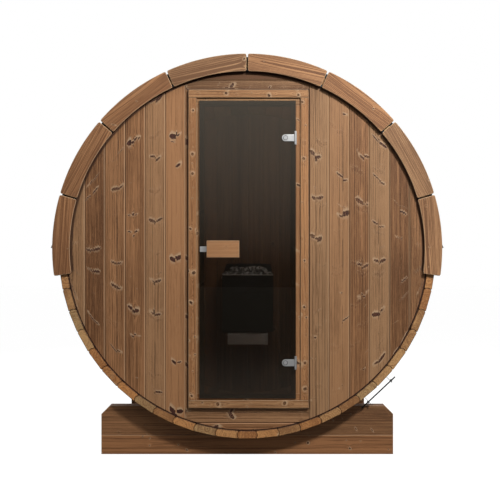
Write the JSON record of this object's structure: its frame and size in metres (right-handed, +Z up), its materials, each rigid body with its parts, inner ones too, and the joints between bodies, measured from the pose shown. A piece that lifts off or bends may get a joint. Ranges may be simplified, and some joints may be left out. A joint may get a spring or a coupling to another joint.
{
  "type": "barrel sauna",
  "caption": "Round timber sauna lying in cradles, with boarded ends, a framed glass door and a wall-hung stone heater.",
  "frame": {"origin": "on the ground, below the middle of the whole object", "axes": "+Z up, -Y out of the door, +X to the right as seen from in front of the door"},
  "size_m": [2.101, 1.669, 2.1578],
  "materials": {
    "stave_wood": "thermally treated softwood, planed",
    "wall_wood": "thermally treated softwood boards, planed",
    "frame_wood": "thermally treated softwood, planed",
    "fascia_wood": "thermally treated softwood, planed",
    "cradle_wood": "thermally treated softwood, planed",
    "handle_wood": "light hardwood, sanded",
    "roof_felt": "mineral-surfaced bitumen covering",
    "drip_metal": "painted sheet, satin",
    "smoked_glass": "tempered, bronze-grey tint",
    "hinge_metal": "satin",
    "band_steel": "zinc-plated",
    "heater_black": "satin black",
    "heater_steel": "brushed",
    "sauna_stone": "split olivine"
  },
  "bodies": {
    "barrel": {"back_wall": "wall_wood", "bottom_stave": "stave_wood", "door_head": "frame_wood", "door_jamb_left": "frame_wood", "door_jamb_right": "frame_wood", "door_sill": "frame_wood", "drip_edges": "drip_metal", "front_band": "band_steel", "front_cradle_base": "cradle_wood", "front_cradle_saddle": "cradle_wood", "front_fascia_left": "fascia_wood", "front_fascia_right": "fascia_wood", "front_tension_rod": "band_steel", "front_wall_left": "wall_wood", "front_wall_over_door": "wall_wood", "front_wall_right": "wall_wood", "front_wall_under_door": "wall_wood", "heater_body": "heater_black", "heater_control_box": "heater_steel", "heater_rails": "heater_black", "heater_stones": "sauna_stone", "hinge_plates": "hinge_metal", "rear_band": "band_steel", "rear_cradle_base": "cradle_wood", "rear_cradle_saddle": "cradle_wood", "rear_fascia_left": "fascia_wood", "rear_fascia_right": "fascia_wood", "rear_tension_rod": "band_steel", "roof_left": "roof_felt", "roof_right": "roof_felt", "staves_left_even": "stave_wood", "staves_left_odd": "stave_wood", "staves_right_even": "stave_wood", "staves_right_odd": "stave_wood"},
    "door": {"door_glass": "smoked_glass", "hinge_clamps": "hinge_metal", "door_handle": "handle_wood", "door_catch": "hinge_metal"}
  },
  "joints": [
    {"name": "door_swing", "type": "hinge", "parent": "barrel", "child": "door", "pos_m": [0.2565, -0.8018, 1.11], "axis": [0, 0, 1], "range_deg": [0, 120]}
  ]
}
